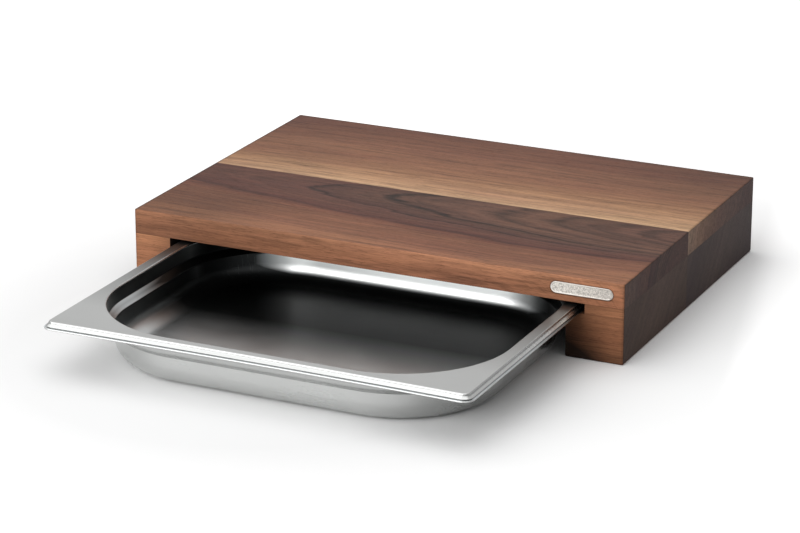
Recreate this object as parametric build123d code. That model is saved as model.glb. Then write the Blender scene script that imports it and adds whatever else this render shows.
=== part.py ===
from build123d import *
import os

# Walnut cutting board on two runner legs, with a pressed steel tray that slides out at the front.
# +X is to the right, +Y to the back, +Z up. The legs stand on the plane Z = 0. The origin is the
# centre of the floor area that the board and its pulled-out tray cover together.

# --- Driving dimensions, in millimetres ---

# Tray: a half-size pan of thin stainless sheet, hung by its rim. The entry and floor bends are
# rounded over bend_share of their width, and the rest of it is flat.
tray_width = 325.0
tray_length = 265.0
pan_depth = 38.9
sheet = 0.7
rim_height = 5.2
rim_reach = 4.3
rim_skirt_drop = 3.0
rim_skirt_lean = 0.5
rim_bend = 1.2
rim_bend_radius = 1.0
rim_corner_radius = 8.0
lip_bead_radius = 0.5
flange_width = 12.3
bowl_corner_radius = 80.0
bowl_entry_bend = 1.5
shoulder_depth = 11.9
shoulder_step = 4.5
shoulder_bend = 1.2
wall_draft = 1.2
floor_bend = 18.0
bend_share = 0.95

# Clearances between the tray, the board and the table.
rim_seat_gap = 0.3
rim_side_gap = 3.0
rim_head_gap = 2.2
tray_end_gap = 2.5
table_gap = 0.4

# Board: slab and legs, each glued up from a front and a rear piece of walnut.
slab_thickness = 18.5
front_stave_depth = 126.4
groove_width = 14.0
leg_land = 29.5
top_arris = 0.8
corner_arris = 1.0
foot_arris = 1.5

# Badge plate, let into the slab's front face above the right leg.
badge_length = 47.0
badge_width = 8.5
badge_thickness = 1.2
badge_proud = 0.3
badge_chamfer = 0.2
badge_from_side = 32.0
badge_play = 0.15
film_thickness = 0.2
film_margin = 0.8

# How far the tray is pulled out in the pose that is modelled.
tray_out = 191.0

# --- Places that follow from them ---

groove_wall_x = tray_width / 2 + rim_side_gap
leg_inner_x = groove_wall_x - groove_width
board_width = 2 * (groove_wall_x + leg_land)
board_depth = tray_length + 2 * tray_end_gap
total_depth = tray_out + tray_length / 2 + board_depth / 2
board_y = (total_depth - board_depth) / 2
tray_y = board_y - tray_out
glue_y = board_y - board_depth / 2 + front_stave_depth
flange_z = table_gap + pan_depth
ledge_z = flange_z - rim_height - rim_seat_gap
leg_height = flange_z + rim_head_gap
board_height = leg_height + slab_thickness
flange_flat_x = tray_width / 2 - rim_reach
flange_flat_y = tray_length / 2 - rim_reach
opening_x = tray_width / 2 - flange_width
opening_y = tray_length / 2 - flange_width
badge_x = board_width / 2 - badge_from_side
badge_recess = badge_thickness + film_thickness - badge_proud


# --- Wooden board ---

def cut_at_glue_line(block):
    """Saw a full-depth block into its front and rear pieces at the glue line."""
    joint = Plane.XZ.offset(-glue_y)
    rear = split(block, bisect_by=joint, keep=Keep.BOTTOM)
    front = split(block, bisect_by=joint, keep=Keep.TOP)
    return front, rear


def board_plan():
    """Outline of the board seen from above, with its corners just broken."""
    return RectangleRounded(board_width, board_depth, corner_arris)


def badge_outline(grow):
    """Stadium outline of the badge, grown by a margin all round."""
    return SlotOverall(badge_length + 2 * grow, badge_width + 2 * grow)


def badge_plane(inset):
    """Plane parallel to the board's front face, set back into the wood."""
    front_y = board_y - board_depth / 2
    centre = (badge_x, front_y + inset, board_height - slab_thickness / 2)
    return Plane(origin=centre, x_dir=(1, 0, 0), z_dir=(0, -1, 0))


def slab():
    """Cutting slab with softened upper edges and the badge's recess in its front."""
    block = extrude(board_plan(), slab_thickness)
    block = Pos(0, board_y, leg_height) * block
    block = fillet(block.faces().sort_by(Axis.Z)[-1].edges(), top_arris)
    recess = extrude(badge_plane(badge_recess) * badge_outline(badge_play), slab_thickness)
    return block - recess


def leg(side):
    """Runner leg, with the groove for the tray's rim cut along its top inner edge."""
    leg_width = groove_width + leg_land
    outline = Rectangle(leg_width, board_depth)
    trimmed = Pos(side * (leg_inner_x + leg_width / 2), 0) * outline & board_plan()
    block = Pos(0, board_y, 0) * extrude(trimmed, leg_height)
    block = fillet(block.faces().sort_by(Axis.Z)[0].edges(), foot_arris)
    groove_height = leg_height - ledge_z
    groove = Box(groove_width, board_depth, groove_height)
    groove_x = side * (leg_inner_x + groove_width / 2)
    return block - Pos(groove_x, board_y, ledge_z + groove_height / 2) * groove


def badge_plate():
    """Bare stadium plate that stands a little proud of the wood."""
    back = badge_recess - film_thickness
    plate = extrude(badge_plane(back) * badge_outline(0), badge_thickness)
    return chamfer(plate.faces().sort_by(Axis.Y)[0].edges(), badge_chamfer)


def badge_film():
    """Thin bonding film between the plate and the floor of its recess."""
    return extrude(badge_plane(badge_recess) * badge_outline(-film_margin), film_thickness)


# --- Steel tray ---

def tray_outline(half_x, half_y, radius):
    """Closed path round the tray at the flange's level."""
    outline = RectangleRounded(2 * half_x, 2 * half_y, radius)
    return Pos(0, tray_y, flange_z) * outline.wire()


def section_plane(edge_x):
    """Upright plane across the right-hand rim, with its origin at the flange's top face."""
    return Plane(origin=(edge_x, tray_y, flange_z), x_dir=(1, 0, 0), z_dir=(0, -1, 0))


def sheet_strip(line, under_side):
    """Section of the pressed sheet whose visible face follows a line."""
    return make_face(line.wire().offset_2d(sheet, kind=Kind.INTERSECTION, side=under_side))


def rim_section():
    """Section of the turned-down rim, from the flat flange out to its beaded lip."""
    bead_x = rim_reach - lip_bead_radius
    bead_z = -rim_height + lip_bead_radius
    skirt_top = (rim_bend, 0)
    skirt_foot = (rim_bend + rim_skirt_lean, -rim_skirt_drop)
    corners = [(0, 0), skirt_top, skirt_foot, (bead_x, bead_z + lip_bead_radius)]
    line = FilletPolyline(*corners, radius=rim_bend_radius)
    bead = Pos(bead_x, bead_z) * Circle(lip_bead_radius)
    return sheet_strip(line, Side.RIGHT) + bead


def bowl_section():
    """Section of the bowl's wall, from the flange's entry bend down to the floor's bend."""
    step_foot = shoulder_depth + shoulder_step
    wall_foot_x = -shoulder_step - wall_draft
    inside_depth = pan_depth - sheet
    corners = [
        (bowl_entry_bend, 0),
        (0, 0),
        (0, -shoulder_depth),
        (-shoulder_step, -step_foot),
        (wall_foot_x, -inside_depth),
        (wall_foot_x - floor_bend, -inside_depth),
    ]
    entry_radius = bowl_entry_bend * bend_share
    floor_radius = floor_bend * bend_share
    bends = [entry_radius, shoulder_bend, shoulder_bend, floor_radius]
    line = FilletPolyline(*corners, radius=bends)
    return sheet_strip(line, Side.LEFT)


def swept_ring(section, edge_x, edge_y, radius):
    """Carry a section round the tray's rounded outline."""
    path = tray_outline(edge_x, edge_y, radius)
    return sweep(section_plane(edge_x) * section, path=path)


def flat_plate(half_x, half_y, radius, top_z):
    """Flat stretch of sheet with rounded corners, given by its upper face."""
    outline = RectangleRounded(2 * half_x, 2 * half_y, radius)
    return Pos(0, tray_y, top_z - sheet) * extrude(outline, sheet)


def flange():
    """Flat flange between the bowl's entry bend and the turned-down rim."""
    outer_radius = rim_corner_radius - rim_reach
    outer = flat_plate(flange_flat_x, flange_flat_y, outer_radius, flange_z)
    hole_x = opening_x + bowl_entry_bend
    hole_y = opening_y + bowl_entry_bend
    return outer - flat_plate(hole_x, hole_y, bowl_corner_radius + bowl_entry_bend, flange_z)


def pan_floor():
    """Flat floor inside the bowl's lower bend."""
    inset = shoulder_step + wall_draft + floor_bend
    floor_top = flange_z - pan_depth + sheet
    return flat_plate(opening_x - inset, opening_y - inset, bowl_corner_radius - inset, floor_top)


def tray():
    """Whole pressed pan: rim, flange, bowl wall and floor as one sheet."""
    rim = swept_ring(rim_section(), flange_flat_x, flange_flat_y, rim_corner_radius - rim_reach)
    wall = swept_ring(bowl_section(), opening_x, opening_y, bowl_corner_radius)
    return flange() + rim + wall + pan_floor()


# --- Write one file per piece ---

def save(name, shape):
    """Write one piece."""
    export_step(shape, f"parts/{name}.step")


os.makedirs("parts", exist_ok=True)
front_stave, rear_stave = cut_at_glue_line(slab())
save("front_stave", front_stave)
save("rear_stave", rear_stave)
for side_name, side in (("left", -1), ("right", 1)):
    front_block, rear_block = cut_at_glue_line(leg(side))
    save(f"{side_name}_leg_front_block", front_block)
    save(f"{side_name}_leg_rear_block", rear_block)
save("badge_plate", badge_plate())
save("badge_adhesive", badge_film())
save("steel_tray", tray())
print(f"board centre y {board_y:.2f}, tray centre y {tray_y:.2f}, ledge z {ledge_z:.2f}")
print(f"flange z {flange_z:.2f}, pan depth {pan_depth:.2f}")
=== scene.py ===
# %% [markdown]
# # A walnut cutting board with a steel tray
# The real thing is a thick walnut slab on two runner legs. A shallow stainless steel pan hangs by
# its rim in a groove along each leg and slides out at the front. The imported CAD model gives every
# piece its size and place, so this lesson only has to make it look right.
# We load that model first, and read the boxes of its pieces from it. Nothing we add may grow past
# it.

# %% Load the CAD model
import math
import bpy
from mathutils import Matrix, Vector


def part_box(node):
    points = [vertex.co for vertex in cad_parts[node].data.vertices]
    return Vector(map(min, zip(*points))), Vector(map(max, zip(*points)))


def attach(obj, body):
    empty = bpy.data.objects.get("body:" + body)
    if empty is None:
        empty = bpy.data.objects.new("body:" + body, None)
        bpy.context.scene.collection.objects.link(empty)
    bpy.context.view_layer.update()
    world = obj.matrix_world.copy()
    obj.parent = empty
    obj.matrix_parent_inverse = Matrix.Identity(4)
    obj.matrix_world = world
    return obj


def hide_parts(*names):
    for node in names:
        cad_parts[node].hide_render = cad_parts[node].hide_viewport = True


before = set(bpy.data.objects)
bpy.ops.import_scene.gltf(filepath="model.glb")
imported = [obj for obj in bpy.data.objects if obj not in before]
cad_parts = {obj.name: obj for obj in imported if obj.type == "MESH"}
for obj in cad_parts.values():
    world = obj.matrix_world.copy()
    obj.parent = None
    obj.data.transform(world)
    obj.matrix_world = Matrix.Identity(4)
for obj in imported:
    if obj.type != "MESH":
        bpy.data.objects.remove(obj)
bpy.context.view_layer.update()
MM = 0.001
print("nodes:", sorted(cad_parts))

# %% [markdown]
# ## Camera
# The photograph was taken from the front right, a little above the board, with a long lens. The
# view was worked out from the board's own corners: we know where they are in the CAD model and
# where they fall in the picture. A camera is aimed by pointing its -Z axis at a target, so we
# place it on a line out from the target and turn it back along that line.

# %% Camera
SENSOR_MM, LENS_MM = 36.0, 139.013
AZIMUTH, ELEVATION = 25.332, 19.483
TARGET_MM, DISTANCE_MM = (-34.576, 80.935, 0.0), 2351.707


def look_direction(azimuth, elevation):
    """Unit vector from the object towards a camera at these angles, in degrees."""
    a, e = math.radians(azimuth), math.radians(elevation)
    return Vector((math.sin(a) * math.cos(e), -math.cos(a) * math.cos(e), math.sin(e)))


lens = bpy.data.cameras.new("photo_lens")
lens.sensor_width, lens.lens = SENSOR_MM, LENS_MM
lens.clip_start, lens.clip_end = 0.05, 50.0
camera = bpy.data.objects.new("photo_camera", lens)
bpy.context.collection.objects.link(camera)
towards_camera = look_direction(AZIMUTH, ELEVATION)
camera.rotation_mode = "QUATERNION"
camera.location = Vector(TARGET_MM) * MM + towards_camera * DISTANCE_MM * MM
camera.rotation_quaternion = (-towards_camera).to_track_quat("-Z", "Y")
bpy.context.scene.camera = camera
print("camera at", [round(v, 3) for v in camera.location])

# %% [markdown]
# ## Writing node trees as sums
# Materials and Geometry Nodes are both networks of small maths nodes, which are slow to read and to
# write one by one. A short class wraps a node's output and overloads Python's operators, so that
# an expression such as `1 - mask * 0.3` adds its own Math nodes. Every other kind of node comes
# from one method, add(), which takes the node's settings and what goes into its sockets.

# %% Wires and sheets of nodes
class Wire:
    """One output of a node. Arithmetic on it adds Math nodes to the same tree."""

    def __init__(self, sheet, socket):
        self.sheet = sheet
        self.socket = socket

    def math(self, operation, *values):
        return self.sheet.add("ShaderNodeMath", {"operation": operation}, dict(enumerate(values)))

    def __add__(self, other): return self.math("ADD", self, other)
    def __sub__(self, other): return self.math("SUBTRACT", self, other)
    def __rsub__(self, other): return self.math("SUBTRACT", other, self)
    def __mul__(self, other): return self.math("MULTIPLY", self, other)
    def __truediv__(self, other): return self.math("DIVIDE", self, other)
    def __mod__(self, other): return self.math("MODULO", self, other)
    def __pow__(self, other): return self.math("POWER", self, other)
    def __abs__(self): return self.math("ABSOLUTE", self)
    __radd__ = __add__
    __rmul__ = __mul__

    def floor(self): return self.math("FLOOR", self)
    def round(self): return self.math("ROUND", self)
    def sine(self): return self.math("SINE", self)
    def cosine(self): return self.math("COSINE", self)
    def at_least(self, other): return self.math("MAXIMUM", self, other)
    def at_most(self, other): return self.math("MINIMUM", self, other)
    def within(self, low, high): return self.at_least(low).at_most(high)

    def output(self, name):
        """Another output of the node that this wire comes from."""
        return Wire(self.sheet, self.socket.node.outputs[name])

    def parts(self):
        """The three numbers of a vector."""
        x = self.sheet.add("ShaderNodeSeparateXYZ", {}, {0: self})
        return x, x.output("Y"), x.output("Z")


class NodeSheet:
    """A node tree that is being filled in. All its nodes come from add()."""

    def __init__(self, tree):
        self.tree = tree

    def add(self, kind, settings=None, inputs=None, output=0):
        """New node with its settings, then the values or wires of its sockets."""
        node = self.tree.nodes.new(kind)
        for name, value in (settings or {}).items():
            if name == "stops":
                self.fill_ramp(node.color_ramp, value)
            else:
                setattr(node, name, value)
        for key, value in (inputs or {}).items():
            if isinstance(value, Wire):
                self.tree.links.new(value.socket, node.inputs[key])
            else:
                node.inputs[key].default_value = value
        return Wire(self, node.outputs[output]) if node.outputs else None

    def fill_ramp(self, ramp, stops):
        """Give a ramp its stops, as (position, colour) pairs in rising order."""
        while len(ramp.elements) > 1:
            ramp.elements.remove(ramp.elements[-1])
        for index, (position, colour) in enumerate(stops):
            stop = ramp.elements[0] if index == 0 else ramp.elements.new(position)
            stop.position, stop.color = position, colour


print("node helpers are ready")

# %% [markdown]
# ## Colours and masks
# Colours are easier to judge as the 0-255 numbers of a picture editor, but a shader wants linear
# light, so one function converts them. Three more change or mix colours in a tree. Most finishes
# also need masks, numbers from 0 to 1 that say where something is, and two rules make them all.

# %% Colour and mask helpers
def colour(red, green, blue):
    """Linear colour with alpha, from the 0-255 numbers of a picture editor."""
    linear = [(v / 255 / 12.92 if v <= 10 else ((v / 255 + 0.055) / 1.055) ** 2.4)
              for v in (red, green, blue)]
    return (*linear, 1.0)


def scaled(sheet, tint, amount):
    """A colour made lighter or darker by a number that may vary over the surface."""
    inputs = {0: tint, "Scale": amount}
    return sheet.add("ShaderNodeVectorMath", {"operation": "SCALE"}, inputs)


def blended(sheet, share, first, second, blend="MIX"):
    """Two colours mixed by a share from 0 to 1."""
    settings = {"data_type": "RGBA", "blend_type": blend}
    return sheet.add("ShaderNodeMix", settings, {0: share, 6: first, 7: second}, output=2)


def glazed(sheet, tint, glaze):
    """A colour seen through a clear coloured glaze."""
    return blended(sheet, 1.0, tint, glaze, "MULTIPLY")


def rises(number, start, end):
    """0 before a start, 1 past an end, and a straight rise between them. It may run backwards."""
    return ((number - start) / (end - start)).within(0, 1)


def near(distance, reach):
    """1 where a distance is 0, falling to 0 at its reach."""
    return (1 - abs(distance) / reach).at_least(0)


print("a mid walnut brown is", [round(v, 3) for v in colour(132, 98, 83)])

# %% [markdown]
# ## The start of every material
# Every finish here starts with an empty tree, and nearly every one asks for the place on the
# object in millimetres, in the frame shared with the CAD model. A pattern laid on that place stays
# on its piece when the piece moves.

# %% Blank materials and places
def blank_material(name):
    """New material with an empty tree, and the sheet that fills it in."""
    material = bpy.data.materials.new(name)
    material.use_nodes = True
    material.node_tree.nodes.clear()
    return material, NodeSheet(material.node_tree)


def finished(sheet, surface):
    """Connect a shader to the material's output."""
    sheet.add("ShaderNodeOutputMaterial", {}, {"Surface": surface})


def place_in_mm(sheet):
    """Place on the object in millimetres."""
    return scaled(sheet, sheet.add("ShaderNodeTexCoord").output("Object"), 1 / MM)


class Spot:
    """A place on a piece, in mm, and the way its face looks."""

    def __init__(self, sheet):
        self.place = place_in_mm(sheet)
        self.x, self.y, self.z = self.place.parts()
        facing = sheet.add("ShaderNodeTexCoord").output("Normal")
        self.facing_x, self.facing_y, self.facing_z = facing.parts()


print("materials can be started")

# %% [markdown]
# ## Studio
# The object stands on a pale table under one large soft lamp overhead, a little to the left, and a
# lower one at the front that lights the pan and the front of the board. Even light comes from all
# round. Together they light the top of the board at a level of about one, so a colour renders much
# as it is written. The camera, and the steel that mirrors the room, see it bright.

# %% Room and lamps
AMBIENT = 0.34
LAMPS = {
    "ceiling_softbox": {"place": (-0.28, -0.28, 1.42), "aim": (0, 0, 0.03),
                        "size": (2.8, 2.2), "watts": 21.9},
    "front_softbox": {"place": (-0.60, -1.65, 0.62), "aim": (0, -0.05, 0.03),
                      "size": (1.7, 0.9), "watts": 20.0},
}


def seen_by_eye(sheet):
    """1 where a thing is seen directly, mirrored or through glass, and 0 where it only lights."""
    ray = sheet.add("ShaderNodeLightPath")
    seen = ray.output("Is Camera Ray").at_least(ray.output("Is Glossy Ray"))
    return seen.at_least(ray.output("Is Transmission Ray"))


def softbox(name, place, aim, size, watts):
    """A rectangular lamp at a place, turned towards a point."""
    lamp = bpy.data.lights.new(name, "AREA")
    lamp.shape, lamp.energy = "RECTANGLE", watts
    lamp.size, lamp.size_y = size
    stand = bpy.data.objects.new(name, lamp)
    bpy.context.collection.objects.link(stand)
    stand.location = place
    stand.rotation_mode = "QUATERNION"
    stand.rotation_quaternion = (Vector(aim) - Vector(place)).to_track_quat("-Z", "Y")
    print(name, "is", round((Vector(aim) - Vector(place)).length, 2), "m away")


world = bpy.data.worlds.new("studio")
bpy.context.scene.world = world
world.use_nodes = True
world.node_tree.nodes.clear()
room = NodeSheet(world.node_tree)
strength = AMBIENT + seen_by_eye(room) * (1 - AMBIENT)
glow = room.add("ShaderNodeBackground", {}, {"Strength": strength})
room.add("ShaderNodeOutputWorld", {}, {"Surface": glow})
for name, lamp in LAMPS.items():
    softbox(name, **lamp)

# %% [markdown]
# ## The table
# The table is an ordinary pale surface, so the soft shadows of the board and the pan fall on it.
# The photograph's background turns to plain white a short way from the object, and sooner at the
# right. So the table is lifted for whoever sees it, more and more with the distance from the
# shadow's middle, and far away it gives way to plain white. It lights the object as before.

# %% Table
TABLE_HALF_SIZE = 6.0
TABLE_WHITE, NEAR_SEEN, FAR_SEEN = 0.80, 0.91, 2.15
SHADE_CENTRE = (-0.05, -0.12, 0.0)
LIFT_REACH, BACKDROP_REACH = (0.18, 1.08), (0.75, 1.45)
RIGHT_EDGE, RIGHT_SLANT, RIGHT_LIFT = (0.257, 0.275), 0.25, 0.2


def flat_table(half_size, material):
    """A wide square that stands for the table and the backdrop."""
    mesh = bpy.data.meshes.new("table")
    corners = [(-half_size, -half_size, 0), (half_size, -half_size, 0),
               (half_size, half_size, 0), (-half_size, half_size, 0)]
    mesh.from_pydata(corners, [], [(0, 1, 2, 3)])
    mesh.materials.append(material)
    table = bpy.data.objects.new("table", mesh)
    bpy.context.collection.objects.link(table)
    return table


def table_paint():
    """Pale paint that is seen whiter and whiter away from the object."""
    material, sheet = blank_material("white_table")
    seen = seen_by_eye(sheet)
    place = sheet.add("ShaderNodeTexCoord").output("Object")
    x, y, _ = place.parts()
    right_lift = rises(x + y * RIGHT_SLANT, *RIGHT_EDGE) * RIGHT_LIFT
    ends = {0: place, 1: SHADE_CENTRE}
    away = sheet.add("ShaderNodeVectorMath", {"operation": "DISTANCE"}, ends).output("Value")
    far_lift = rises(away, *LIFT_REACH) * (FAR_SEEN - NEAR_SEEN)
    white = TABLE_WHITE + seen * (NEAR_SEEN - TABLE_WHITE + far_lift + right_lift)
    white = sheet.add("ShaderNodeCombineColor", {}, {0: white, 1: white, 2: white})
    matt = sheet.add("ShaderNodeBsdfDiffuse", {}, {"Color": white})
    plain = sheet.add("ShaderNodeEmission", {}, {"Color": (1, 1, 1, 1), "Strength": 1.0})
    backdrop = rises(away, *BACKDROP_REACH) * seen
    finished(sheet, sheet.add("ShaderNodeMixShader", {}, {0: backdrop, 1: matt, 2: plain}))
    return material


table = flat_table(TABLE_HALF_SIZE, table_paint())
print("table is", 2 * TABLE_HALF_SIZE, "m wide")

# %% [markdown]
# ## Walnut: what it looks like and why
# A plank is cut out of a round trunk, so its figure is not painted on: it is the trunk's yearly
# rings, sliced by the saw. Where the saw cuts beside the heart of the trunk, and the heart rises
# a little along the plank, the rings come out as pointed arches. Further away they come out as
# straight lines. So each plank gets its own rings in solid space, worked out in millimetres from
# the point's place in the wood. The grain then runs on correctly over the edges, and the end of
# the plank shows the curved rings themselves.
#
# On top of the rings lie long fibres, short dark pores, broad patches of colour, a darker end
# grain, and thin dark glue lines where two pieces meet.

# %% Where the board's faces and joints are
board_low, board_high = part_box("front_stave")[0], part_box("rear_stave")[1]
board_half_width = board_high.x / MM
board_front, board_back = board_low.y / MM, board_high.y / MM
board_top, slab_foot = board_high.z / MM, board_low.z / MM
glue_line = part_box("front_stave")[1].y / MM
badge_low, badge_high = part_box("badge_plate")
badge_middle = (badge_low + badge_high) / 2 / MM
badge_half_height = (badge_high.z - badge_low.z) / 2 / MM
badge_straight = (badge_high.x - badge_low.x) / 2 / MM - badge_half_height
print("board:", [round(v, 2) for v in (board_half_width, board_front, board_back, board_top)])

# %% Noise for wood and steel
def noise(sheet, vector, detail=2.0, roughness=0.5):
    """Smooth random number round 0.5 at each place."""
    inputs = {"Vector": vector, "Scale": 1.0, "Detail": detail, "Roughness": roughness}
    return sheet.add("ShaderNodeTexNoise", {"noise_dimensions": "3D"}, inputs)


def noise_along(sheet, number, detail=2.0, roughness=0.5):
    """Smooth random number round 0.5 that changes with one number only."""
    inputs = {"W": number, "Scale": 1.0, "Detail": detail, "Roughness": roughness}
    return sheet.add("ShaderNodeTexNoise", {"noise_dimensions": "1D"}, inputs)


def stretched(sheet, place, along, across, shift=(0.0, 0.0, 0.0)):
    """Place with one unit per `along` mm in the X direction and per `across` mm in the others."""
    size = (1 / along, 1 / across, 1 / across)
    return sheet.add("ShaderNodeMapping", {}, {"Vector": place, "Location": shift, "Scale": size})


print("noise helpers are ready")

# %% [markdown]
# ## Ring shapes
# Two rules cover all the planks. "Arched" rings are circles round a heart line that lies under the
# top face and rises towards one end. "Straight" rings are nearly flat sheets, bowed a little
# towards the plank's ends. Both give the distance from a starting line in millimetres, and the
# colours are then looked up along that distance.

# %% Ring rules
def arched_rings(heart_y, heart_depth, rise, quickening, start_x):
    """Rings round a heart line below the top face, which comes up quicker and quicker."""
    squeeze_from, squeeze_rate = 150, 0.000017

    def distance(x, y, z):
        along = x - start_x
        depth = heart_depth - along * rise - along * along * quickening - (board_top - z)
        squeeze = (along - squeeze_from).at_least(0)
        side = (y - heart_y) * (1 + squeeze * squeeze * squeeze_rate)
        return (side * side + depth * depth) ** 0.5
    return distance


def straight_rings(start_y, lean, left_bow=0.0, right_bow=0.0):
    """Nearly flat rings counted from a line towards the back, bowed near the plank's ends."""
    left_from, left_length, left_width = -110, 85, 100
    right_from, right_length, right_width = 30, 165, 120

    def distance(x, y, z):
        across = y - start_y
        left = (left_from - x).at_least(0) / left_length
        right = (x - right_from).at_least(0) / right_length
        bowed = across + left * left * left_bow * (across / left_width + 1)
        bowed = bowed - right * right * right_bow * (across / right_width)
        return bowed + (board_top - z) * lean
    return distance


print("ring rules are ready")

# %% [markdown]
# ## Figure in the wood
# Real rings waver, so the distance gets a slow and a quick waver. Inside the rings run wide bands
# and thin lines, which follow the distance, and streaks, hair lines, fibres and pores, which are
# noise drawn out along the grain. Each is finer than the last. A few arches of the front plank are
# so dark and sharp that they are drawn as lines of their own, which fade and come back.

# %% Rings, lines, fibres and pores
def ring_distance(sheet, spot, rings, seed):
    """Distance from the rings' starting line in mm, with a slow and a quick waver."""
    slow = noise(sheet, stretched(sheet, spot.place, 150, 40, (seed, 0, 0)), 1.0) - 0.5
    quick = noise(sheet, stretched(sheet, spot.place, 26, 7, (0, seed, 0)), 2.0) - 0.5
    return rings(spot.x, spot.y, spot.z) + slow * 8 + quick * 2.4


def fine_figure(sheet, spot, distance, seed, figure):
    """How light the grain is, round 1, how high its surface stands, and how rough it is."""
    wide_bands = noise_along(sheet, distance / 7 + seed, 2.0, 0.6) - 0.5
    thin_lines = noise_along(sheet, distance / 1.3 + seed, 2.0, 0.8) - 0.5
    streaks = stretched(sheet, spot.place, 90, 4.0, (seed, 0, seed))
    streaks = noise(sheet, streaks, 4.0, 0.75) - 0.5
    fibres = noise(sheet, stretched(sheet, spot.place, 14, 0.7), 3.0, 0.7) - 0.5
    hairs = noise(sheet, stretched(sheet, spot.place, 55, 2.8, (0, 0, seed)), 3.0, 0.75)
    hairs = rises(hairs, 0.53, 0.641)
    pores = rises(noise(sheet, stretched(sheet, spot.place, 4.5, 0.33), 1.0), 0.60, 0.711)
    level = 1 + wide_bands * 0.55 + thin_lines * 0.60 + streaks * (1.30 * figure) + fibres * 0.85
    level = level * (1 - pores * 0.35) * (1 - hairs * (0.32 * figure))
    height = fibres * 0.5 + streaks * 0.3 - pores * 0.8
    roughness = 0.56 + fibres * 0.25 + pores * 0.2
    return level, height, roughness


def ramp(sheet, number, stops):
    """Colour or grey looked up along a number from 0 to 1."""
    return sheet.add("ShaderNodeValToRGB", {"stops": stops}, {0: number})


def drawn_rings(sheet, spot, share, marks):
    """How light the wood is across its drawn ring lines."""
    line = sheet.add("ShaderNodeSeparateColor", {}, {0: ramp(sheet, share, marks)})
    broken = noise(sheet, stretched(sheet, spot.place, 24, 6), 1.0)
    return 1 - (line * (broken * 1.6).within(0.35, 1)).at_most(0.8)


print("figure helpers are ready")

# %% [markdown]
# ## Joints, edges and painted shade
# Glue joints show as dark hairlines. Painted shade runs along the softened edges, and the top is
# darker towards its left end and its rear right corner. A painted highlight lies along the upper
# edge of the front, and painted shade lies beside the pan on the legs, at their feet, underneath,
# in the grooves and round the badge. Each function gives how light the wood is, round 1.

# %% Where on the board a spot is
GROOVE_LEDGE, GROOVE_WALL = 33.8, 165.5
SHARP = 0.05


def on_slab_front(spot):
    """1 on the slab's front face."""
    return rises(spot.facing_y, -0.5, -0.75) * rises(spot.z, slab_foot, slab_foot + SHARP)


def on_top(spot):
    """1 on faces that look up."""
    return rises(spot.facing_z, 0.5, 0.75)


def on_legs(spot):
    """1 below the slab."""
    return rises(spot.z, slab_foot, slab_foot - SHARP)


def in_groove(spot):
    """1 on the ledge, the wall and the roof of the grooves that the pan's rim runs in."""
    over_ledge = rises(spot.z, GROOVE_LEDGE - SHARP, GROOVE_LEDGE)
    return over_ledge * rises(abs(spot.x), GROOVE_WALL + SHARP, GROOVE_WALL) * on_legs(spot)


print("ledge", GROOVE_LEDGE, "mm up, groove wall", GROOVE_WALL, "mm from the middle")

# %% Edges, joints and ends of the top
JOINT_WIDTH, ARRIS_WIDTH, UPRIGHT_WIDTH = 0.22, 2.2, 2.0


def edge_level(spot):
    """Darker along the glue joints, with painted shade along the softened edges."""
    joints = near(spot.y - glue_line, JOINT_WIDTH).at_least(near(spot.z - slab_foot, JOINT_WIDTH))
    to_side, to_top = board_half_width - abs(spot.x), board_top - spot.z
    to_back = board_back - spot.y
    to_end = (spot.y - board_front).at_most(to_back)
    left_half = rises(spot.x, 0, -SHARP)
    rear_half = rises(spot.y, glue_line, glue_line + SHARP)
    # Painted shade: darker along the top's left and back edges, less along its right edge, and down
    # the upright corners, most at the rear.
    top_edge = near(to_top, ARRIS_WIDTH)
    side_edge = near(to_side, ARRIS_WIDTH) * top_edge * left_half.at_least(0.25)
    back_edge = near(to_back, ARRIS_WIDTH) * top_edge
    upright = near(to_end, UPRIGHT_WIDTH) * near(to_side, UPRIGHT_WIDTH)
    painted_edge_shade = side_edge.at_least(back_edge).at_least(upright * (0.4 + rear_half * 0.6))
    return (1 - joints * 0.5) * (1 - (painted_edge_shade * 1.8).at_most(1) * 0.55)


def top_level(spot):
    """Darker towards the left end of the top, most in front, and in its rear right corner."""
    left_end = rises(spot.x, -85, -145) * (0.10 + near(spot.y + 12, 50) * 0.36)
    right_end = rises(spot.x, 80, 160) * rises(spot.y, 135, 175) * 0.26
    return 1 - on_top(spot) * (left_end + right_end)


print("edges and top are ready")

# %% Front of the slab and the legs
RIM_SIDE, RIM_SHADE_REACH = 149, 36


def front_level(spot):
    """Painted highlight along the slab's upper front edge, painted light and shade across the
    front, and a painted shadow line round the badge.
    """
    # Painted light: lighter along the upper edge and towards the right, darker towards the left end
    # and the lower part.
    right_part = rises(spot.x, -60, 40)
    right_corner = rises(spot.x, 166, 182)
    upper_edge = rises(spot.z, 50, 58) * (0.14 + right_part * 0.20 - right_corner * 0.24)
    painted_front_light = upper_edge + (right_part - 0.55) * 0.14
    painted_front_light = painted_front_light - rises(spot.x, -60, -150) * 0.16 - rises(spot.z, 50, 46) * 0.09
    # A painted shadow line round the badge's recess.
    from_end = (abs(spot.x - badge_middle.x) - badge_straight).at_least(0)
    from_badge = (from_end * from_end + (spot.z - badge_middle.z) ** 2) ** 0.5
    badge_recess_shadow = near(from_badge - badge_half_height - 0.2, 0.9) * 0.6
    front = on_slab_front(spot)
    return (1 + front * painted_front_light) * (1 - front * badge_recess_shadow)


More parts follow.
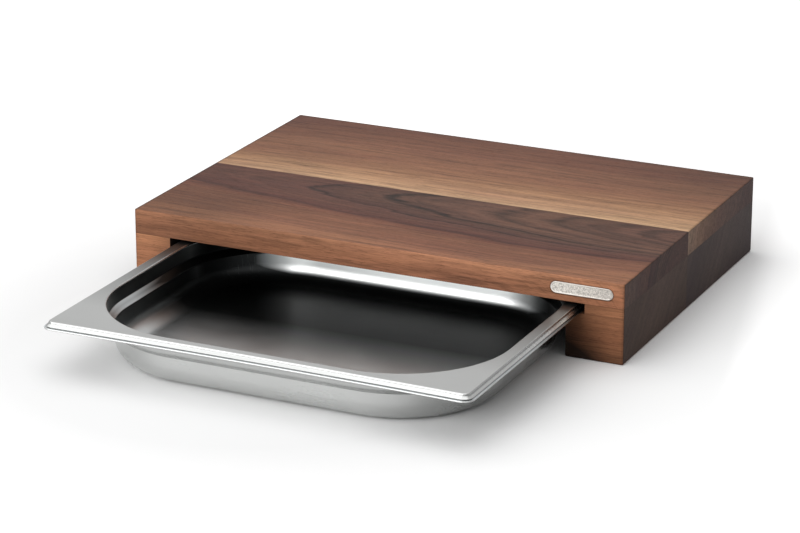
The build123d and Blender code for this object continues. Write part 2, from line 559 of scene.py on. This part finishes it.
def leg_level(spot):
    """Painted shade: darker underneath, in the grooves, beside the pan and at the feet."""
    # Painted shade underneath and in the grooves, and on the legs' front and back faces beside the
    # pan and at the feet.
    hidden = rises(spot.facing_z, -0.75, -0.917).at_least(in_groove(spot))
    beside_pan = near(abs(spot.x) - RIM_SIDE, RIM_SHADE_REACH) * (0.76 + near(spot.z, 26) * 0.75)
    leg_painted_shade = beside_pan + near(spot.z, 12) * 0.55
    leg_painted_shade = leg_painted_shade * rises(abs(spot.facing_y), 0, 0.833) * on_legs(spot)
    return (1 - hidden * 0.7) * (1 - (leg_painted_shade * 0.85).at_most(0.94))


print("front and legs are ready")

# %% [markdown]
# ## End grain and oil
# Across the end of a plank the saw opens the fibres, which soak up oil and turn dark and a little
# cooler. The legs' ends are the darkest. The oil also warms the colour, most on the front.

# %% End grain and oil
SLAB_END_GLAZE, LEG_END_GLAZE = (0.465, 0.49, 0.60, 1), (0.225, 0.325, 0.52, 1)
WARM_OIL = (0.99, 0.915, 0.875, 1)


def with_end_grain(sheet, spot, tint, end_grain):
    """The wood's colour, darker and cooler across the ends of the planks."""
    towards_front, towards_back = rises(spot.y, 25, -20), rises(spot.y, 115, 175)
    like_leg = on_legs(spot).at_least(towards_front * 0.8).at_least(towards_back * 0.5)
    glaze = blended(sheet, like_leg, SLAB_END_GLAZE, LEG_END_GLAZE)
    ends = scaled(sheet, glazed(sheet, tint, glaze), 1 - towards_front * 0.10)
    return blended(sheet, end_grain, tint, ends)


def with_oil(sheet, spot, tint):
    """The wood's colour, warmed by oil on the front and a little on top."""
    share = on_slab_front(spot) * (1 - rises(spot.z, 49, 57) * 0.8) + on_top(spot) * 0.3
    return blended(sheet, share, tint, glazed(sheet, tint, WARM_OIL))


print("end grain and oil are ready")

# %% [markdown]
# ## Walnut material
# The planks share one recipe, put together from the functions above. Only the rings, their
# colours, the drawn lines and the strength of the figure differ, so that the dark heartwood in
# front and the pale sapwood at the joint come from the same wood.

# %% Walnut recipe
PURPLE_PATCH = (0.84, 0.78, 0.84, 1)


def walnut(name, rings, start, span, stops, marks=(), seed=0.0, figure=1.0):
    """Oiled walnut with its own rings. The stops cover distances from start to start + span."""
    material, sheet = blank_material(name)
    spot = Spot(sheet)
    distance = ring_distance(sheet, spot, rings, seed)
    share = (distance - start) / span
    level, height, roughness = fine_figure(sheet, spot, distance, seed, figure)
    if marks:
        level = level * drawn_rings(sheet, spot, share, marks)
    level = level * edge_level(spot) * top_level(spot) * front_level(spot) * leg_level(spot)

    patch = noise(sheet, stretched(sheet, spot.place, 110, 26, (seed, seed, 0)), 2.0)
    tint = ramp(sheet, share, stops)
    purple = glazed(sheet, tint, PURPLE_PATCH)
    tint = blended(sheet, rises(patch, 0.46, 0.71) * 0.7, tint, purple)
    end_grain = rises(abs(spot.facing_x), 0.75, 0.917)
    tint = with_end_grain(sheet, spot, scaled(sheet, tint, level), end_grain)

    bump = {"Strength": 0.25, "Distance": 0.0002, "Height": height}
    finished(sheet, sheet.add("ShaderNodeBsdfPrincipled", {}, {
        "Base Color": with_oil(sheet, spot, tint),
        "Roughness": (roughness + end_grain * 0.12).within(0.2, 0.95),
        "Specular IOR Level": 0.18,
        "Normal": sheet.add("ShaderNodeBump", {}, bump),
    }))
    return material


def finish_node(node, material):
    """Give a CAD piece its better material."""
    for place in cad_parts[node].material_slots:
        place.material = material


print("walnut recipe is ready")

# %% [markdown]
# ## The two slab planks
# The front plank is dark heartwood. Its arches point to the left, and their heart line comes up
# towards the right end. In front of the arches the grain runs straight, first purple and dark,
# then redder and lighter. The rear plank is pale where it meets the front one, and
# darkens in long straight streaks towards the back.

# %% Front plank
HEART_DEPTH, HEART_RISE, HEART_QUICKENING = 86.0, 0.074, 0.00006
HEART_FROM_JOINT, FIRST_ARCH_FROM_END = 16.4, 104
FRONT_START, FRONT_SPAN, LINE_WIDTH = 50.0, 100.0, 1.3
FRONT_COLOURS = [
    (50, (101, 70, 57)), (62, (100, 70, 57)), (72, (108, 77, 62)), (78, (101, 72, 59)),
    (82.5, (91, 63, 52)), (85.5, (85, 56, 48)), (90, (96, 63, 52)), (95.5, (95, 59, 50)),
    (98, (112, 72, 56)), (103, (126, 85, 65)), (112, (129, 87, 66)), (121, (136, 93, 71)),
    (130, (151, 105, 78)), (150, (150, 103, 76))]
# Places of the arches' tips along the plank, from the first one, and how dark each line is.
ARCH_TIPS = [(0, 1.0), (7, 0.35), (62, 0.6), (71, 1.0), (90, 0.3),
             (142, 0.75), (188, 0.7), (232, 0.6), (271, 0.7)]
STRAIGHT_LINE = (96.3, 0.4)


def depth_of_heart(along):
    """Depth of the front plank's heart line at a distance along from the first arch."""
    return HEART_DEPTH - along * HEART_RISE - along * along * HEART_QUICKENING


def ring_marks(distances, start, span, width):
    """Grey ramp with a dark line on each ring distance: soft inside, crisp outside."""
    stops = [(0.0, (0, 0, 0, 1))]
    for distance, strength in sorted(distances):
        for shift, grey in ((-width * 1.5, 0.0), (0.0, strength), (width * 0.7, 0.0)):
            stops.append(((distance + shift - start) / span, (grey, grey, grey, 1)))
    return stops


def ring_colours(start, span, colours):
    """Ramp stops from pairs of ring distance and colour."""
    return [((distance - start) / span, colour(*tint)) for distance, tint in colours]


front_rings = arched_rings(glue_line - HEART_FROM_JOINT, HEART_DEPTH, HEART_RISE,
                           HEART_QUICKENING, FIRST_ARCH_FROM_END - board_half_width)
front_lines = [(depth_of_heart(along), dark) for along, dark in ARCH_TIPS] + [STRAIGHT_LINE]
front_wood = walnut("walnut_heartwood", front_rings, FRONT_START, FRONT_SPAN,
                    ring_colours(FRONT_START, FRONT_SPAN, FRONT_COLOURS),
                    ring_marks(front_lines, FRONT_START, FRONT_SPAN, LINE_WIDTH), seed=3.0)
finish_node("front_stave", front_wood)
print("heart depth at both ends:", round(depth_of_heart(-90), 1), round(depth_of_heart(300), 1))

# %% Rear plank
REAR_SPAN, REAR_LEAN, REAR_LEFT_BOW, REAR_RIGHT_BOW = 150.0, 0.5, 9.0, 14.0
REAR_COLOURS = [
    (0, (214, 176, 139)), (5, (201, 163, 127)), (19, (182, 142, 109)), (34, (169, 128, 96)),
    (49, (150, 109, 82)), (64, (141, 99, 76)), (79, (139, 98, 75)), (94, (132, 92, 71)),
    (109, (122, 82, 64)), (124, (115, 77, 60)), (150, (106, 69, 56))]
rear_rings = straight_rings(glue_line, REAR_LEAN, REAR_LEFT_BOW, REAR_RIGHT_BOW)
rear_wood = walnut("walnut_sapwood", rear_rings, 0.0, REAR_SPAN,
                   ring_colours(0, REAR_SPAN, REAR_COLOURS), seed=11.0)
finish_node("rear_stave", rear_wood)
print("rear plank has", len(REAR_COLOURS), "ring colours")

# %% [markdown]
# ## The legs
# Each leg is glued from a front and a rear block. Their grain crosses the board in the same
# direction as the slab's, so the whole block swells and shrinks together and the joints last.
# The left front block is coloured lighter and redder than the right one. All four were sawn beside
# the heart and are plainer than the slab, so their figure is only half as strong.

# %% Leg blocks
LEG_SPAN, LEG_FIGURE, FRONT_LEAN, BLOCK_LEAN = 180.0, 0.5, 1.0, 0.8
LEG_BLOCKS = {
    "left_leg_front_block": (board_front, FRONT_LEAN, (174, 121, 86), (155, 104, 74), 21.0),
    "left_leg_rear_block": (glue_line, BLOCK_LEAN, (160, 112, 82), (128, 86, 64), 27.0),
    "right_leg_front_block": (board_front, FRONT_LEAN, (158, 108, 76), (135, 89, 62), 33.0),
    "right_leg_rear_block": (glue_line, BLOCK_LEAN, (146, 102, 76), (118, 80, 62), 39.0),
}
for node, (start_y, lean, light, dark, seed) in LEG_BLOCKS.items():
    light, dark = colour(*light), colour(*dark)
    stops = [(0.0, light), (0.22, dark), (0.55, light), (1.0, dark)]
    wood = walnut("walnut_" + node, straight_rings(start_y, lean), 0.0, LEG_SPAN, stops,
                  seed=seed, figure=LEG_FIGURE)
    finish_node(node, wood)
    print(node, "finished")

# %% [markdown]
# ## The pan's section
# The pan is pressed from one sheet of stainless steel 0.7 mm thick. From the middle outwards its
# section runs along the flat floor, up a generous bend, up the wall to a 45-degree shoulder on
# which a second pan can rest when they are stacked, over a small bend onto the flat flange, and
# down the rim in two steps to a rolled lip. The under face follows the upper one at one sheet's
# thickness. So we write down the corners of the upper face only, round them, and work out the
# under face from them.

# %% Rounding a section
THINNEST_BEND = 0.12


def beside(corners, gap):
    """The same corners moved to the left of the path by a gap, with their roundings adjusted."""
    moved = []
    for i, (u, v, radius) in enumerate(corners):
        here = Vector((u, v))
        before = here - Vector(corners[i - 1][:2]) if i else None
        after = Vector(corners[i + 1][:2]) - here if i + 1 < len(corners) else None
        first, last = (before or after).normalized(), (after or before).normalized()
        normal_1, normal_2 = Vector((-first.y, first.x)), Vector((-last.y, last.x))
        shift = (normal_1 + normal_2) * gap / (1 + normal_1.dot(normal_2))
        turns_left = first.x * last.y - first.y * last.x > 0
        radius = radius - gap if turns_left else radius + gap
        moved.append((u + shift.x, v + shift.y, max(THINNEST_BEND, radius)))
    return moved


def rounded(corners, step=11.0, guard=0.35):
    """Points along a path with its corners rounded, and guard points on the straights beside."""
    points = [Vector(corners[0][:2])]
    for i in range(1, len(corners) - 1):
        here, following = Vector(corners[i][:2]), Vector(corners[i + 1][:2])
        radius = corners[i][2]
        back = (Vector(corners[i - 1][:2]) - here).normalized()
        ahead = (following - here).normalized()
        turn = math.pi - back.angle(ahead)
        reach = radius * math.tan(turn / 2)
        start, end = here + back * reach, here + ahead * reach
        centre = here + (back + ahead).normalized() * radius / math.cos(turn / 2)
        count = max(2, math.ceil(math.degrees(turn) / step))
        if (start - points[-1]).length > 3 * guard:
            points.append(start + back * guard)
        for k in range(count + 1):
            arm = (start - centre).slerp(end - centre, k / count)
            points.append(centre + arm * radius)
        if (following - end).length > 3 * guard:
            points.append(end + ahead * guard)
    return points + [Vector(corners[-1][:2])]


print("rounding helpers are ready")

# %% Section of the pressed sheet
SHEET, PAN_DEPTH, RIM_HEIGHT, LIP_BEAD = 0.7, 38.9, 5.2, 0.5
FLANGE_INSET, OPENING_INSET, FLOOR_BEND = 4.3, 12.3, 14.5

tray_low, tray_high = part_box("steel_tray")
half_length = (tray_high.y - tray_low.y) / 2 / MM
floor_v = -PAN_DEPTH + SHEET
# Each corner is its distance in from the lip, its height over the flange, and its rounding.
bowl_corners = [
    (half_length, floor_v, 0),  # middle of the floor
    (18.8, floor_v, FLOOR_BEND),
    (16.8, -16.4, 1.2),  # foot and head of the shoulder
    (OPENING_INSET, -11.9, 1.2),
    (OPENING_INSET, 0, 1.42),  # bend onto the flange
    (3.4, 0, 1.1),  # rim, down to its first step
    (3.45, -1.5, 0.25),
]
rim_face = [(1.2, -3.25, 0.2), (2.0, -4.1, 0.1), (1.0, -4.35, 0)]  # second step and crease
rim_back = [(2.0, -3.6, 0.3), (0.95, -4.3, 0)]
upper = rounded(bowl_corners + rim_face)
under = rounded(beside(bowl_corners + rim_back, SHEET))
lip = [Vector((LIP_BEAD + LIP_BEAD * math.cos(math.radians(angle)),
               LIP_BEAD - RIM_HEIGHT + LIP_BEAD * math.sin(math.radians(angle))))
       for angle in range(30, 331, 20)]
section = upper + lip + under[::-1]
heights = [point.y for point in section]
print("points in the section:", len(section))
print("lowest and highest in mm:", round(min(heights), 2), round(max(heights), 2))

# %% [markdown]
# ## The pan, pressed by Geometry Nodes
# Every level of the pan is a rectangle with rounded corners. The lip has tight corners of 8 mm and
# the bowl has wide ones of 80 mm, so a plain sweep along one path can't make both. Instead a
# flat grid is bent by a rule. Each row of the grid is one point of the section, which says how
# far in from the lip it lies, how round its corners are and how high it is. Each column is one
# place round the rectangle: a side first, then a quarter turn. Drawing and pressing the sheet
# also pulls the front and back rims in a little at their middles, and the rule has an input for
# that.

# %% Corner radius at each level
LIP_RADIUS, BOWL_RADIUS, ENTRY_BEND = 8.0, 80.0, 1.5


def corner_radius(inset):
    """Corner radius of the pan's outline at this distance in from the lip."""
    if inset <= FLANGE_INSET:
        return LIP_RADIUS - inset
    flange_radius = LIP_RADIUS - FLANGE_INSET
    entry = OPENING_INSET - ENTRY_BEND
    if inset <= entry:
        share = (inset - FLANGE_INSET) / (entry - FLANGE_INSET)
        return flange_radius + share * (BOWL_RADIUS + ENTRY_BEND - flange_radius)
    return max(0.0, BOWL_RADIUS - (inset - OPENING_INSET))


flange_top = tray_high.z / MM
pan_centre_y = (tray_low.y + tray_high.y) / 2
section_points = [(p.x * MM, corner_radius(p.x) * MM, (flange_top + p.y) * MM) for p in section]
section_mesh = bpy.data.meshes.new("pan_section")
section_mesh.from_pydata(section_points, [(i, i + 1) for i in range(len(section) - 1)], [])
pan = bpy.data.objects.new("pressed_pan", section_mesh)
bpy.context.collection.objects.link(pan)
print("corner radius at lip, flange edge and opening:",
      [corner_radius(inset) for inset in (0, FLANGE_INSET, OPENING_INSET)])

# %% Sockets of the pressing tree
def empty_pressing_tree(sizes):
    """Geometry Nodes tree with a socket for the section and one for each size."""
    tree = bpy.data.node_groups.new("press_the_pan", "GeometryNodeTree")
    tree.interface.new_socket("Section", in_out="INPUT", socket_type="NodeSocketGeometry")
    for name, value in sizes.items():
        socket = tree.interface.new_socket(name, in_out="INPUT", socket_type="NodeSocketFloat")
        socket.default_value = value
    tree.interface.new_socket("Pan", in_out="OUTPUT", socket_type="NodeSocketGeometry")
    return tree


def round_the_rectangle(given, column, inset, radius):
    """X and Y of a column, on a rounded rectangle this far in from the lip."""
    side_steps, turn_steps = given.output("Side steps"), given.output("Turn steps")
    per_side = side_steps + turn_steps
    side = (column / per_side + 0.0001).floor()
    along = column - side * per_side
    run = (along / side_steps).within(0, 1) * 2 - 1
    turn = ((along - side_steps) / turn_steps).within(0, 1) * (math.pi / 2)
    front_or_back = side % 2
    half_x, half_y = given.output("Half width"), given.output("Half length")
    out_half = half_x + (half_y - half_x) * front_or_back - inset
    run_half = half_y + (half_x - half_y) * front_or_back - inset
    fading = (1 - inset / given.output("Bow reach")).within(0, 1)
    bow = given.output("Rim bow") * (1 - run * run) * front_or_back * fading
    out = out_half - radius + radius * turn.cosine() - bow
    across = (run_half - radius) * run + radius * turn.sine()
    angle = side * (math.pi / 2)
    x = out * angle.cosine() - across * angle.sine()
    y = out * angle.sine() + across * angle.cosine() + given.output("Centre y")
    return x, y


print("the rounding rule is ready")

# %% Node tree that presses the pan
MERGE_DISTANCE = 0.000002


def pressing_tree(sizes, material):
    """Tree that turns a section of (inset, corner radius, height) points into the whole pan."""
    tree = empty_pressing_tree(sizes)
    sheet = NodeSheet(tree)
    given = sheet.add("NodeGroupInput")
    rows = sheet.add("GeometryNodeAttributeDomainSize", {"component": "MESH"}, {0: given})
    around = (given.output("Side steps") + given.output("Turn steps")) * 4
    grid = {"Size X": 1.0, "Size Y": 1.0, "Vertices X": rows, "Vertices Y": around + 1}
    grid = sheet.add("GeometryNodeMeshGrid", {}, grid)

    grid_x, grid_y, _ = sheet.add("GeometryNodeInputPosition").parts()
    row = ((grid_x + 0.5) * (rows - 1)).round()
    column = ((grid_y + 0.5) * around).round()
    place = sheet.add("GeometryNodeInputPosition")
    sample = {"Geometry": given, "Value": place, "Index": row}
    kind = {"data_type": "FLOAT_VECTOR", "domain": "POINT"}
    inset, radius, height = sheet.add("GeometryNodeSampleIndex", kind, sample).parts()

    x, y = round_the_rectangle(given, column, inset, radius)
    pressed = sheet.add("ShaderNodeCombineXYZ", {}, {0: x, 1: y, 2: height})
    shape = sheet.add("GeometryNodeSetPosition", {}, {"Geometry": grid, "Position": pressed})
    for kind, inputs in (("GeometryNodeMergeByDistance", {"Distance": MERGE_DISTANCE}),
                         ("GeometryNodeSetShadeSmooth", {"Shade Smooth": True}),
                         ("GeometryNodeRealizeInstances", {}),
                         ("GeometryNodeSetMaterial", {"Material": material})):
        shape = sheet.add(kind, {}, {"Geometry": shape, **inputs})
    sheet.add("NodeGroupOutput", {}, {0: shape})
    return tree


print("the pressing rule is ready")

# %% [markdown]
# ## Stainless steel
# The pan has the soft satin of cold-rolled stainless sheet: bright, slightly blurred, with very
# fine lines from the rolls along the sheet, cloudy patches, and draw marks in the rear corners of
# the bowl. Metal has no colour of its own apart from its reflections, so most of the detail is in
# the roughness and in a very shallow bump.
#
# Reflections and shade are painted into the colour. Inside the bowl the side walls, the shoulder,
# the rear corners and the rear floor are painted darker, and the front floor and rear wall painted
# bright.
# The flange is rougher and painted darker where it slides under the board, and painted shade lies
# in the rim's two steps. The outer walls carry painted light and shade.

# %% Where on the pan a spot is
class PanSpot(Spot):
    """A place on the pan, with the masks that its finish is made of."""

    def __init__(self, sheet):
        super().__init__(sheet)
        self.from_centre_y = self.y - pan_centre_y / MM
        self.over_flange = self.z - flange_top
        outwards = self.facing_x * self.x + self.facing_y * self.from_centre_y
        self.inward = self.facing_z - outwards / 120
        self.inside = rises(self.inward, 0, 0.333) * rises(self.over_flange, -1.2, -1.7)
        self.outside = rises(self.inward, 0, -0.333) * rises(self.over_flange, -4, -4.5)
        self.on_flange = rises(self.facing_z, 0.8, 0.967) * rises(self.over_flange, -0.4, -0.15)
        self.rear_wall = rises(self.facing_y, -0.78, -0.905)
        corners = rises(self.x, -92, -122).at_least(rises(self.x, 102, 126))
        self.rear_corners = corners * rises(self.y, -40, -10) * 1.25


def painted_bowl_light(spot):
    """How light the steel is inside the bowl, with painted shade and painted reflections: darker on
    the side walls, shoulder, rear corners and rear floor, brighter on the front floor and rear
    wall.
    """
    side_wall = rises(abs(spot.facing_x), 0.80, 1.0)
    front_floor = rises(spot.y, -165, -215)
    rear_floor = rises(spot.y, -126, -60) * rises(spot.facing_z, 0, 0.667)
    shoulder = near(spot.over_flange + 14.2, 3.5)
    # Painted reflection and shade, each weighted by where it lies in the bowl.
    bowl_painted_shade = side_wall * 1.05 - front_floor * 0.34 + rear_floor * 1.45
    bowl_painted_shade = bowl_painted_shade - spot.rear_wall * 0.62 + spot.rear_corners + shoulder * 0.5 - 0.35
    return (1 - spot.inside * bowl_painted_shade).at_least(0.08)


def painted_outside_light(spot):
    """Painted reflection on the outer walls: lighter on the front and left, darker on the right and
    under the shoulder.
    """
    under_shoulder = near(spot.z - 31, 7)
    # Painted reflection: lighter facing front and left, darker facing right and just under the
    # shoulder.
    lift = spot.facing_y * -0.26 - spot.facing_x * 0.35 - under_shoulder * 0.45
    return 1 + spot.outside * lift.within(-0.35, 0.3)


def rim_step_shade_level(spot):
    """Painted shade in the two steps of the rim, the upper step only along the sides."""
    # Painted shade lines in the rim's steps, only where they face outwards.
    upper_step = near(spot.over_flange + 1.2, 1.1) * rises(abs(spot.facing_x), 0, 0.667)
    painted_step_shade = upper_step * 0.7 + near(spot.over_flange + 3.7, 0.7) * 1.3
    painted_step_shade = painted_step_shade * rises(spot.inward, 0.167, 0)
    return 1 - painted_step_shade.at_most(0.9)


print("pan is centred at y", round(pan_centre_y / MM, 2), "and its flange is", flange_top, "up")

# %% Satin steel
STEEL, BOWL_STEEL = (184, 185, 184), (181, 185, 186)
STEEL_ROUGHNESS = 0.26
ROLL_LINE_WIDTH, ROLL_LINE_LENGTH, ROLL_LINE_HEIGHT = 0.4, 24.0, 0.00002
DRAW_MARK_SCALE = (0.9, 0.9, 0.04)


def draw_marks(sheet, spot):
    """Bright scratches down the wall in the bowl's rear corners."""
    marks = sheet.add("ShaderNodeMapping", {}, {"Vector": spot.place, "Scale": DRAW_MARK_SCALE})
    marks = rises(noise(sheet, marks, 2.0, 0.7), 0.58, 0.691)
    corner = near(abs(spot.x) - 150, 45) * near(abs(spot.from_centre_y) - 120, 45)
    return marks * corner * spot.inside * spot.rear_corners


def satin_steel(name):
    """Rolled steel sheet with fine lines, a cloudy sheen and draw marks, with reflections and shade
    painted into its colour.
    """
    material, sheet = blank_material(name)
    spot = PanSpot(sheet)
    lines = stretched(sheet, spot.place, ROLL_LINE_LENGTH, ROLL_LINE_WIDTH)
    lines = noise(sheet, lines, 2.0, 0.6) - 0.5
    cloud = noise(sheet, stretched(sheet, spot.place, 40, 28), 3.0, 0.55) - 0.5
    # Painted reflection and shade inside the bowl, on the outer walls and in the rim's steps.
    level = (1 + cloud * 0.06 + lines * 0.05) * painted_bowl_light(spot)
    level = level * painted_outside_light(spot) * rim_step_shade_level(spot)
    # Painted reflection of the dark board: the flange darker towards it.
    board_reflection_shade = spot.on_flange * rises(spot.y, -185, -55) * 0.78
    level = level * (1 - board_reflection_shade) + draw_marks(sheet, spot) * 0.45
    bare = blended(sheet, spot.inside * (1 - spot.rear_wall), colour(*STEEL), colour(*BOWL_STEEL))
    roughness = STEEL_ROUGHNESS + spot.inside * 0.06 + spot.on_flange * 0.10
    height = lines * (1 - spot.inside * 0.8) + cloud * 0.5
    bump = {"Strength": 0.3, "Distance": ROLL_LINE_HEIGHT, "Height": height}
    finished(sheet, sheet.add("ShaderNodeBsdfPrincipled", {}, {
        "Base Color": scaled(sheet, bare, level),
        "Metallic": 1.0,
        "Roughness": (roughness + cloud * 0.10 + lines * 0.10).within(0.05, 0.9),
        "Normal": sheet.add("ShaderNodeBump", {}, bump),
    }))
    return material


pan_steel = satin_steel("pan_steel")
print("steel finish is ready")

# %% Press the pan
pan_sizes = {
    "Half width": (tray_high.x - tray_low.x) / 2,
    "Half length": half_length * MM,
    "Centre y": pan_centre_y,
    "Rim bow": 2.0 * MM,
    "Bow reach": OPENING_INSET * MM,
    "Side steps": 20.0,
    "Turn steps": 26.0,
}
presses = pan.modifiers.new("press", "NODES")
presses.node_group = pressing_tree(pan_sizes, pan_steel)
for item in presses.node_group.interface.items_tree:
    if item.in_out == "INPUT" and item.name in pan_sizes:
        presses[item.identifier] = pan_sizes[item.name]
depsgraph = bpy.context.evaluated_depsgraph_get()
pressed_mesh = bpy.data.meshes.new_from_object(pan.evaluated_get(depsgraph))
pan.modifiers.remove(presses)
pan.data = pressed_mesh
print("pan faces:", len(pressed_mesh.polygons))

# %% [markdown]
# ## The badge
# The badge is a small plate with round ends, stamped so that a raised border stands round a sunk
# field. The lettering of the real one is left off. The plate is built from outlines: each one is
# moved in by a distance, at one height of the stamped section, and a strip of faces joins it to
# the next. The field is blasted, so it is duller and darker than the rubbed border.

# %% Stamped plate
# Distance in from the plate's edge and height over its back, from the back to the sunk field.
BADGE_SECTION = [(0.0, 0.0), (0.0, 1.0), (0.2, 1.2), (0.7, 1.2), (0.95, 0.95), (1.6, 0.93)]


def round_ended(inset, end_steps=16):
    """Points round the badge's outline moved in by a distance, in mm from its middle."""
    points = []
    reach = badge_half_height - inset
    for end in (1, -1):
        for k in range(end_steps + 1):
            angle = math.pi * (k / end_steps - 0.5)
            u = badge_straight + reach * math.cos(angle)
            points.append((end * u, end * reach * math.sin(angle)))
    return points


def stamped_plate(name):
    """Closed plate whose outlines follow the stamped section."""
    points = [((badge_middle.x + u) * MM, badge_high.y - height * MM, (badge_middle.z + v) * MM)
              for inset, height in BADGE_SECTION for u, v in round_ended(inset)]
    around, levels = len(round_ended(0)), len(BADGE_SECTION)
    back, field = tuple(range(around))[::-1], tuple(range(around * (levels - 1), around * levels))
    faces = [back, field]
    for low in range(0, around * (levels - 1), around):
        for k in range(around):
            after = (k + 1) % around
            faces.append((low + k, low + after, low + around + after, low + around + k))
    mesh = bpy.data.meshes.new(name)
    mesh.from_pydata(points, [], faces)
    plate = bpy.data.objects.new(name, mesh)
    bpy.context.collection.objects.link(plate)
    return plate


plate = stamped_plate("stamped_badge")
print("badge faces:", len(plate.data.polygons))

# %% Badge finish
NICKEL = (224, 217, 209)


def badge_nickel():
    """Nickel plate, rubbed on its border and blasted in its sunk field."""
    material, sheet = blank_material("badge_nickel")
    place = place_in_mm(sheet)
    _, y, _ = place.parts()
    front = badge_low.y / MM
    sunk = rises(y, front + 0.1, front + 0.2)
    grains = noise(sheet, stretched(sheet, place, 1.0, 1.0), 2.0, 0.6) - 0.5
    rubs = noise(sheet, stretched(sheet, place, 9, 0.5), 2.0, 0.6) - 0.5
    level = 1 - sunk * (0.20 + grains * 1.5) + rubs * 0.15
    bump = {"Strength": 0.5, "Distance": 0.00008, "Height": grains * sunk + rubs * 0.2}
    finished(sheet, sheet.add("ShaderNodeBsdfPrincipled", {}, {
        "Base Color": scaled(sheet, colour(*NICKEL)[:3], level),
        "Metallic": 1.0,
        "Roughness": (0.30 + sunk * (0.22 + grains * 0.4) + rubs * 0.2).within(0.05, 0.9),
        "Normal": sheet.add("ShaderNodeBump", {}, bump),
    }))
    return material


plate.data.materials.append(badge_nickel())
print("badge finished")

# %% [markdown]
# ## The bonding film
# A thin film behind the badge holds it in its recess. It is hidden, but a repairer who lifts the
# plate finds it, so it has a finish too: amber adhesive with streaks where it was pressed out.

# %% Bonding film
THICK_AMBER, THIN_AMBER = (120, 96, 52), (168, 142, 92)


def bonding_film():
    """Amber adhesive, smeared along the plate."""
    material, sheet = blank_material("bonding_film")
    smear = noise(sheet, stretched(sheet, place_in_mm(sheet), 6, 1.5), 3.0, 0.6)
    finished(sheet, sheet.add("ShaderNodeBsdfPrincipled", {}, {
        "Base Color": blended(sheet, smear, colour(*THICK_AMBER), colour(*THIN_AMBER)),
        "Roughness": smear * 0.3 + 0.3,
    }))
    return material


finish_node("badge_adhesive", bonding_film())
print("film finished")

# %% [markdown]
# ## Hand over to the frame
# The pressed pan stands for the CAD tray and slides with it, and the stamped plate stands for the
# CAD badge and stays with the board. The view is left on Blender's Standard transform, so that
# colours stay as they were written.

# %% Hand over
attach(pan, "tray")
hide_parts("steel_tray")
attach(plate, "board")
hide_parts("badge_plate")
bpy.context.scene.view_settings.view_transform = "Standard"
